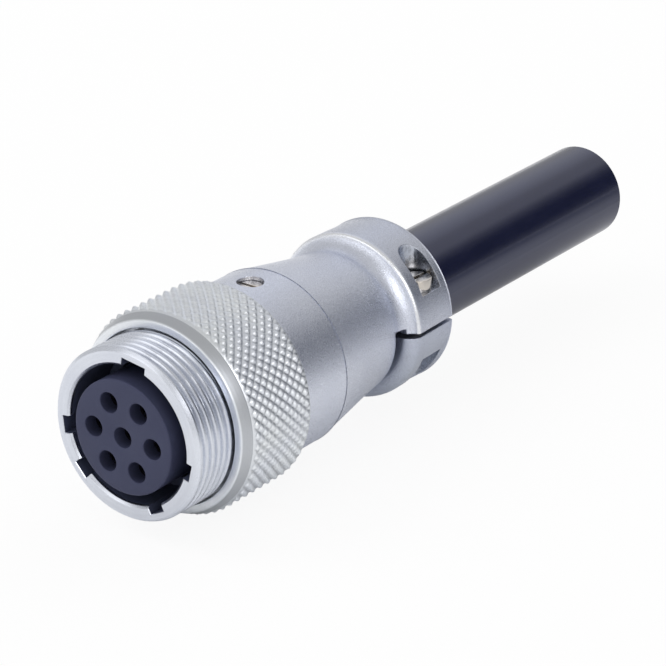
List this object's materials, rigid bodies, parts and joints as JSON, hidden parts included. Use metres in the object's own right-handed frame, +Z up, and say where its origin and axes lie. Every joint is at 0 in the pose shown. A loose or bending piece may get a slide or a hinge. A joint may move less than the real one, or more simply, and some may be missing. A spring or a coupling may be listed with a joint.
{
  "type": "circular power connector",
  "caption": "In-line circular power connector: keyed, threaded socket end, knurled union nut, backshell with a split screw clamp, and a short straight cable stub.",
  "frame": {"origin": "centre of the metal mating face, on the connector's axis", "axes": "+Y along the axis from the mating face towards the cable, +Z up, square to the clamp's split plane and through the set screw, +X to the right seen from the mating face"},
  "size_m": [0.0346, 0.13, 0.0346],
  "materials": {
    "plated_barrel": "bright satin nickel plate",
    "plated_nut": "satin nickel plate, diamond knurl",
    "plated_backshell": "fine blasted nickel plate",
    "insert_plastic": "smooth dark grey plastic",
    "spring_steel": "plain",
    "screw_steel": "bright",
    "seal_rubber": "matt",
    "jacket_rubber": "smooth, slightly glossy black",
    "filler": "matt",
    "contact_brass": "bright",
    "core_black": "smooth",
    "core_green": "smooth",
    "copper": "drawn copper"
  },
  "bodies": {
    "backshell_body": {"receptacle_barrel": "plated_barrel", "backshell": "plated_backshell", "clamp_saddle": "plated_backshell", "insert_front": "insert_plastic", "insert_rear": "insert_plastic", "insert_clip": "spring_steel", "set_screw": "screw_steel", "clamp_screws": "screw_steel", "joint_seal": "seal_rubber", "cable_grommet": "seal_rubber", "cable_jacket": "jacket_rubber", "cable_filler": "filler", "socket_contact_1": "contact_brass", "socket_contact_2": "contact_brass", "socket_contact_3": "contact_brass", "socket_contact_4": "contact_brass", "socket_contact_5": "contact_brass", "socket_contact_6": "contact_brass", "socket_contact_7": "contact_brass", "core_1": "core_black", "core_2": "core_black", "core_3": "core_black", "core_4": "core_black", "core_5": "core_black", "core_6": "core_black", "core_7": "core_green", "conductor_1": "copper", "conductor_2": "copper", "conductor_3": "copper", "conductor_4": "copper", "conductor_5": "copper", "conductor_6": "copper", "conductor_7": "copper"},
    "slip_ring_body": {"slip_ring": "spring_steel"},
    "nut_body": {"union_nut": "plated_nut"}
  },
  "joints": [
    {"name": "nut_travel", "type": "slide", "parent": "backshell_body", "child": "slip_ring_body", "axis": [0, 1, 0], "range_m": [-0.004, 0]},
    {"name": "nut_turn", "type": "hinge", "parent": "slip_ring_body", "child": "nut_body", "pos_m": [0, 0.0165, 0], "axis": [0, 1, 0], "range_deg": [-1440, 0]}
  ],
  "couplings": [
    {"joint": "nut_travel", "follows": "nut_turn", "m_per_rad": 0.00015915}
  ]
}
